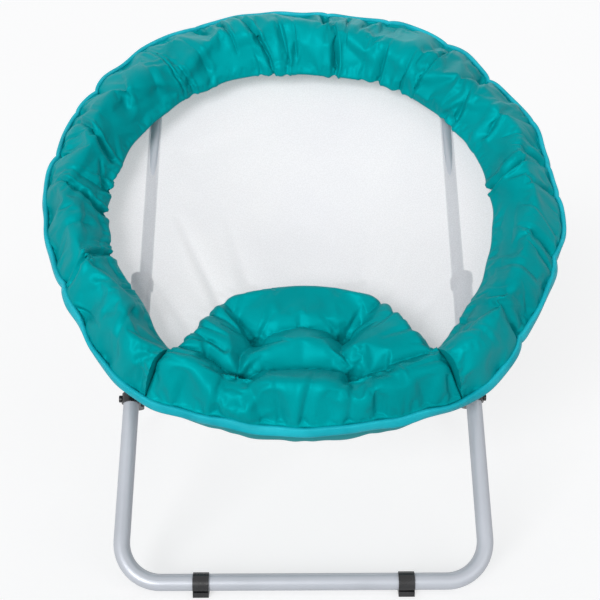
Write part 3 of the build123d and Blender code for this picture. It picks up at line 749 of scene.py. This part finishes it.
def pad_gathers(seed):
    """Seeded small folds square to the pad's front, rear and side edges."""
    rng = np.random.default_rng(seed)
    front = 0.388
    folds = []
    for angle in np.linspace(-30, 30, 9):
        a = math.radians(270 + angle + rng.normal(0, 1.4))
        reach = rng.uniform(0.008, 0.026)
        folds.append(((front * math.cos(a), front * math.sin(a)),
                      ((front - reach) * math.cos(a + 0.02), (front - reach) * math.sin(a + 0.02)),
                      rng.uniform(3.0, 5.5), rng.uniform(0.8, 2.6), 0.2))
    for angle in np.linspace(-27, 27, 9):
        a = math.radians(270 + angle + rng.normal(0, 1.6))
        start = 0.140 + 0.048 * (angle / 31) ** 2
        reach = rng.uniform(0.010, 0.032)
        folds.append(((start * math.cos(a), start * math.sin(a)),
                      ((start + reach) * math.cos(a), (start + reach) * math.sin(a)),
                      rng.uniform(2.6, 4.5), rng.uniform(1.0, 2.6), 0.3))
    for side in (-1, 1):
        for radius in np.linspace(0.225, 0.350, 6):
            a = math.radians(270 + side * (PAD_HALF - 1.2))
            inward = math.radians(270 + side * (PAD_HALF - rng.uniform(4, 8)))
            far = radius + rng.normal(0, 0.006)
            folds.append(((radius * math.cos(a), radius * math.sin(a)),
                          (far * math.cos(inward), far * math.sin(inward)),
                          rng.uniform(2.8, 4.6), rng.uniform(1.0, 2.6), 0.4))
    return folds


def over_tube(radius):
    """Height of cloth that rests on the rim tube, and far below away from the tube."""
    around_tube = COVERED_R ** 2 - (radius - RIM_R) ** 2
    return np.where(around_tube > 0, np.sqrt(np.maximum(around_tube, 0)), -0.2)


REAR_R = 0.154           # radius of the pad's rear edge at its middle
REAR_BOW = 0.051         # how much larger it is towards the ends, and at the very ends
REAR_END = 0.020
SIDE_ROUND = 0.020       # over how much of its side and rear edges the pad rounds off
BACK_ROUND = 0.024
THIN = 0.016             # the pad's thickness in a valley, and how much more in a pillow
FULL = 0.038
VALLEY_HALF = 0.016      # half a valley's width, and how far a shallow one stays from it
VALLEY_FADE = 0.026
TUFT_PIN = 0.0048        # radius that a tuft holds down
UNDER_GAP = 0.0008       # the least thickness before the simulation, and after it
LEAST = 0.0045


def make_pad():
    """The tufted front panel, from its curved rear edge over the mesh to the taped edge."""
    cols, rows = 104, 84
    turn = np.linspace(-PAD_HALF, PAD_HALF, cols)[None, :]
    k = np.linspace(0, 1, rows)[:, None]
    rear = REAR_R + REAR_BOW * (turn / 31) ** 2 + REAR_END * smooth_step(np.abs(turn), 27, PAD_HALF)
    edge_r = edge_radius(270 + turn) - SEAM_IN
    edge_h = edge_height(270 + turn) + SEAM_UP
    radius = rear + (edge_r - rear) * k
    turn_full = turn + 0 * k
    to_end = (PAD_HALF - np.abs(turn_full)) * np.radians(1) * np.maximum(radius, 0.2)
    side = np.minimum(to_end / SIDE_ROUND, 1)
    side = np.sqrt(np.clip(side * (2 - side), 0, 1))
    back = np.minimum((radius - rear) / BACK_ROUND, 1)
    back = np.sqrt(np.clip(back * (2 - back), 0, 1))
    x = radius * np.sin(np.radians(turn_full))
    s = -radius * np.cos(np.radians(turn_full))
    gap = np.full(x.shape, 1.0)
    for points, depth in VALLEYS:
        gap = np.minimum(gap, line_gap(x, s, points) + (1 - depth) * VALLEY_FADE)
    thick = THIN + FULL * (1 - np.exp(-gap / VALLEY_HALF))
    for tuft in TUFTS:
        pit = np.hypot(x - tuft[0], s - tuft[1])
        thick = thick * (1 - 0.42 * np.exp(-(pit / 0.026) ** 2))
        thick = thick * (1 - 0.38 * np.exp(-(pit / 0.009) ** 2))
    roll_from, tube_top, underside = 0.334, 0.018, -0.0125
    seat = mesh_level(radius) + 0.0015
    rest = seat + (tube_top - seat) * smooth_step(radius, 0.318, MESH_R)
    level = rest + (seat + thick - rest) * side
    level = seat + (level - seat) * back
    bend = np.clip((radius - roll_from) / (edge_r - roll_from), 0, 1)
    rolled = edge_h + (np.maximum(level, tube_top) - edge_h) * (1 - bend ** 1.7)
    level = np.where(bend > 0, rolled, level)
    level = np.maximum(level, over_tube(radius))
    pins = np.zeros((rows, cols))
    pins[0] = pins[-1] = 1
    pins[:, 0] = pins[:, -1] = 1
    for tx, ts in TUFTS:
        pins = np.maximum(pins, (np.hypot(x - tx, s - ts) < TUFT_PIN) * 1.0)
    under_h = np.where(bend > 0, underside + (edge_h - underside) * bend, seat)
    under_h = np.minimum(under_h, level - UNDER_GAP)
    top = at(x, s, level)
    low = at(x * 0.998, s * 0.998, under_h)
    draft = pillow("pad_draft", top, low, np.zeros((rows, cols, 2)))
    held = np.ones(len(draft.data.vertices))
    held[: rows * cols] = pins.ravel()
    swell(draft, held, frames=20, growth=0.030, pressure=2.0, bend=3.0, cap=0.006)
    top = positions(draft)[: rows * cols].reshape(rows, cols, 3)
    bpy.data.objects.remove(draft)

    top = halfway(halfway(top, 0, False), 1, False)
    low = halfway(halfway(low, 0, False), 1, False)
    x = halfway(halfway(x, 0, False), 1, False)
    s = halfway(halfway(s, 0, False), 1, False)
    hollow, lip = np.zeros(x.shape), np.zeros(x.shape)
    for start, end, width, deep0, deep1 in PAD_FOLDS + pad_gathers(8):
        sink = fold(x, s, start, end, width * FOLD_WIDTH, (deep0 * PAD_DEPTH, deep1 * PAD_DEPTH))
        hollow, lip = np.maximum(hollow, sink), np.minimum(lip, sink)
    border = np.zeros(x.shape)
    border[2:-1, 1:-1] = 1
    top = top + grid_normals(top, False) * ((hollow + lip) * border)[..., None]
    place_at = top - CENTRE
    tube = over_tube(np.hypot(place_at @ AX, place_at @ AS))
    lift = np.maximum(LEAST - (top - low) @ AH, tube - place_at @ AH)
    top = top + (np.maximum(lift, 0) * border)[..., None] * AH
    fine_rows, fine_cols = x.shape
    uvs = np.stack(np.broadcast_arrays(
        np.linspace(-PAD_HALF, PAD_HALF, fine_cols)[None, :] * math.radians(0.3),
        np.linspace(0, 0.28, fine_rows)[:, None]), axis=-1)
    return pillow("cloth_seat_pad", top, low, uvs)


pad = make_pad()
finish_piece(pad, "teal_cloth", ["seat_pad"])


# ---- cloth under the front of the rim ------------------------------------------------------------
WRAP_HALF = 36.0         # degrees from the middle of the front to the wrap's ends
WRAP_END_R = 0.349       # where its rear edge lies under the rim tube
WRAP_END_H = -0.0155
WRAP_HANG = 0.045        # how far it hangs below its edges at the middle


def make_wrap():
    """Slack cloth from the taped edge round below the rim tube."""
    cols, rows = 180, 36
    turn = np.linspace(-WRAP_HALF, WRAP_HALF, cols)[None, :]
    k = np.linspace(0, 1, rows)[:, None]
    fade = 1 - (np.abs(turn) / WRAP_HALF) ** 3
    edge_r = edge_radius(270 + turn) - 0.0045
    edge_h = edge_height(270 + turn) - 0.004
    deep = 0.004 + WRAP_HANG * fade + wave(turn * 3, 5, [(3, .0012), (7, .0018), (12, .0012)])
    arc = k * math.pi
    radius = edge_r + (WRAP_END_R - edge_r) * ((1 - np.cos(arc)) / 2) ** 1.7
    flat = edge_h + (WRAP_END_H - edge_h) * k
    height = flat - deep * np.sin(arc) ** 0.65
    turned = np.radians(turn)
    creases = 0.0014 * np.sin(turned * 61 + 4 * k + 1.5 * np.sin(turned * 23)) * np.sin(arc)
    x = radius * np.sin(turned)
    s = -radius * np.cos(turned)
    top = at(x, s, height + creases)
    low = at(x, s, np.maximum(flat, height + 0.0005))
    uvs = np.stack([np.radians(turn + 0 * k) * 0.38, k * 0.06 + 0 * turn], axis=-1)
    return pillow("cloth_front_wrap", top, low, uvs)


wrap = make_wrap()
finish_piece(wrap, "teal_cloth", ["front_wrap"])


# ---- binding tape --------------------------------------------------------------------------------
TAPE_THICK = 0.0036      # half the tape's thickness and half its width
TAPE_WIDE = 0.0070
LEG_LIFT = 0.0026        # raises the tape where the folded right leg passes it


def make_binding():
    """Folded tape round the taped edge, leaning more or less as it goes."""
    cols = 720
    angle = np.arange(cols) * 360.0 / cols
    middle_r = edge_radius(angle) + 0.0005
    middle_h = edge_height(angle) - 0.001 + LEG_LIFT * near(angle, 306.5, 9)
    lean = 0.12 + 0.42 * near(angle, 270, 48) + wave(angle, 31, [(6, .16), (14, .18), (23, .14)])
    section = []
    steps = 12
    for i in range(steps):
        t = 2 * math.pi * i / steps
        a = math.copysign(abs(math.cos(t)) ** 0.6, math.cos(t)) * TAPE_THICK
        b = math.copysign(abs(math.sin(t)) ** 0.6, math.sin(t)) * TAPE_WIDE
        section.append((a, b))
    rows = [polar(angle, middle_r + a * np.cos(lean) - b * np.sin(lean),
                  middle_h + a * np.sin(lean) + b * np.cos(lean)) for a, b in section]
    grid = np.stack(rows)
    uvs = [(a / 360 * 2.45, i / steps * 0.03) for i in range(steps) for a in angle]
    return new_object("tape_binding", grid.reshape(-1, 3), grid_faces(steps, cols, True, True), uvs)


binding = make_binding()
finish_piece(binding, "binding_tape", ["rim_binding"])


# ---- hanging mesh --------------------------------------------------------------------------------
# Soft folds in the mesh: both ends on the rim's axes, width and depths in metres.
MESH_FOLDS = [
    ((-0.110, -0.175), (-0.190, 0.000), 0.011, (0.0065, 0.0010)),
    ((0.112, -0.180), (0.170, -0.030), 0.011, (0.0060, 0.0010)),
    ((-0.070, -0.150), (-0.115, 0.010), 0.013, (0.0050, 0.0008)),
    ((0.085, -0.155), (0.105, 0.020), 0.013, (0.0048, 0.0008)),
    ((-0.145, -0.235), (-0.240, -0.090), 0.010, (0.0055, 0.0010)),
    ((0.140, -0.230), (0.235, -0.100), 0.010, (0.0055, 0.0010)),
    ((0.010, -0.135), (0.030, 0.120), 0.018, (0.0026, 0.0006)),
    ((-0.180, 0.120), (-0.060, 0.190), 0.016, (0.0024, 0.0006)),
]


MESH_REACH = 0.346       # the net's edge, just over the rim tube's middle line


def make_seat_mesh():
    """The whole hanging bowl, pinned at the rim and where the seat pad lies on it."""
    cols, rows = 300, 74
    angle = np.arange(cols) * 360.0 / cols
    radius = MESH_REACH * (np.arange(1, rows + 1) / rows) ** 0.9
    grid_a = angle[None, :] + 0 * radius[:, None]
    grid_r = radius[:, None] + 0 * angle[None, :]
    level = mesh_level(grid_r)
    inside = np.sin(math.pi * np.clip(grid_r / MESH_R, 0, 1) ** 1.3)
    x, s = grid_r * np.cos(np.radians(grid_a)), grid_r * np.sin(np.radians(grid_a))
    folds = 0.0
    for start, end, width, depth in MESH_FOLDS:
        folds = folds + fold(x, s, start, end, width, depth)
    level = level + (0.0015 - folds) * inside
    grid = polar(grid_a, grid_r, level)
    verts = [at(0.0, 0.0, float(mesh_level(0.0)) + 0.001)] + list(grid.reshape(-1, 3))
    faces = [(0, 1 + j, 1 + (j + 1) % cols) for j in range(cols)]
    faces += [tuple(v + 1 for v in f[::-1]) for f in grid_faces(rows, cols, False, True)]
    uvs = [(0.0, 0.0)] + [(r * math.cos(math.radians(a)), r * math.sin(math.radians(a)))
                          for r in radius for a in angle]
    obj = new_object("seat_mesh_whole", verts, faces, uvs)
    pins = np.zeros(len(verts))
    held = np.zeros((rows, cols))
    held[-1] = 1
    held[(np.abs(away_from(grid_a, 270)) < 31) & (grid_r > 0.15)] = 1
    pins[1:] = held.ravel()
    swell(obj, pins, frames=16, growth=0.012, pressure=0.0, bend=0.05, cap=0.006, gravity=0.25,
          stiff=8.0)
    return obj


def cut_across(obj, places):
    """Cuts the faces along planes square to the x axis."""
    bm = bmesh.new()
    bm.from_mesh(obj.data)
    for x in places:
        bmesh.ops.bisect_plane(bm, geom=bm.verts[:] + bm.edges[:] + bm.faces[:],
                               plane_co=(x, 0, 0), plane_no=(1, 0, 0))
    bm.to_mesh(obj.data)
    bm.free()


SPLIT = 0.215            # where the side panels of the mesh start, left and right
whole = make_seat_mesh()
cut_across(whole, (-SPLIT, SPLIT))
PANELS = {
    "seat_mesh": lambda c: abs(c.x) < SPLIT,
    "seat_mesh_right": lambda c: c.x > SPLIT,
    "seat_mesh_left": lambda c: c.x < -SPLIT,
}
for name, test in PANELS.items():
    panel = part_of(whole, "cloth_" + name, test)
    finish_piece(panel, "white_mesh", [name])
    co = positions(panel) - CENTRE
    if name != "seat_mesh":
        tuple(at(0.0, 0.0, MESH_TOP))
        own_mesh(panel)
bpy.data.objects.remove(whole)


# ---- floor, light and camera ---------------------------------------------------------------------
def seen_rays(tree):
    """1 for camera, glossy and transmission rays, 0 for all others."""
    path = tree.nodes.new("ShaderNodeLightPath")
    total = None
    for ray in ("Is Camera Ray", "Is Glossy Ray", "Is Transmission Ray"):
        if total is None:
            total = path.outputs[ray]
            continue
        larger = tree.nodes.new("ShaderNodeMath")
        larger.operation = "MAXIMUM"
        tree.links.new(total, larger.inputs[0])
        tree.links.new(path.outputs[ray], larger.inputs[1])
        total = larger.outputs["Value"]
    return total


REACH = 45.0             # metres from the chair to each side of the floor
FLOOR_GLOW = 0.63
BACKDROP = 0.965         # the backdrop's white, and the strength of the world's soft light
SOFT_LIGHT = 0.36


def floor_paint():
    """Pale floor; where it is seen it also glows a little, so that it reads as white."""
    s = Shader("floor_paint")
    s.bsdf.inputs["Base Color"].default_value = (0.50, 0.50, 0.504, 1)
    s.bsdf.inputs["Roughness"].default_value = 1.0
    s.bsdf.inputs["Specular IOR Level"].default_value = 0.0
    s.bsdf.inputs["Emission Color"].default_value = (1, 1, 1, 1)
    lift = s.add("ShaderNodeMath", operation="MULTIPLY")
    lift.inputs[1].default_value = FLOOR_GLOW
    tree = s.material.node_tree
    tree.links.new(seen_rays(tree), lift.inputs[0])
    s.link(lift, "Value", s.bsdf, "Emission Strength")
    return s.material


floor_mesh = bpy.data.meshes.new("floor")
corners = [(-REACH, -REACH, 0), (REACH, -REACH, 0), (REACH, REACH, 0), (-REACH, REACH, 0)]
floor_mesh.from_pydata(corners, [], [(0, 1, 2, 3)])
floor = bpy.data.objects.new("floor", floor_mesh)
bpy.context.scene.collection.objects.link(floor)
floor_mesh.materials.append(floor_paint())


def sun(name, come_from, spread, strength):
    """A far, wide lamp: the same light over the whole floor, with soft shadows."""
    light = bpy.data.lights.new(name, "SUN")
    light.angle = math.radians(spread)
    light.energy = strength
    obj = bpy.data.objects.new(name, light)
    bpy.context.scene.collection.objects.link(obj)
    obj.rotation_euler = Vector(come_from).to_track_quat("Z", "Y").to_euler()


sun("key", (-0.48, -1.0, 0.36), spread=26, strength=2.1)
sun("fill", (0.7, -1.0, 0.3), spread=50, strength=0.60)
sun("back", (0.1, 1.0, 0.9), spread=40, strength=0.30)


def studio_world():
    """Soft light from all round; seen directly or in gloss, it is a white backdrop."""
    world = bpy.data.worlds.new("studio")
    world.use_nodes = True
    tree = world.node_tree
    soft = tree.nodes["Background"]
    soft.inputs["Color"].default_value = (0.97, 0.985, 1.0, 1)
    soft.inputs["Strength"].default_value = SOFT_LIGHT
    white = tree.nodes.new("ShaderNodeBackground")
    white.inputs["Color"].default_value = (BACKDROP, BACKDROP, BACKDROP, 1)
    mix = tree.nodes.new("ShaderNodeMixShader")
    tree.links.new(seen_rays(tree), mix.inputs["Fac"])
    tree.links.new(soft.outputs["Background"], mix.inputs[1])
    tree.links.new(white.outputs["Background"], mix.inputs[2])
    tree.links.new(mix.outputs["Shader"], tree.nodes["World Output"].inputs["Surface"])
    return world


bpy.context.scene.world = studio_world()

CAMERA_AT = (-0.003, -1.453157, 0.7705)
CAMERA_TILT = 72.0       # degrees up from straight down
CAMERA_ROLL = -0.28
lens = bpy.data.cameras.new("camera")
lens.sensor_width = 36
lens.lens = 60
lens.clip_end = 150
camera = bpy.data.objects.new("camera", lens)
bpy.context.scene.collection.objects.link(camera)
tilt = Matrix.Rotation(math.radians(CAMERA_TILT), 4, "X")
roll = Matrix.Rotation(math.radians(CAMERA_ROLL), 4, "Z")
camera.matrix_world = Matrix.Translation(CAMERA_AT) @ tilt @ roll
bpy.context.scene.camera = camera
bpy.context.scene.view_settings.view_transform = "Standard"
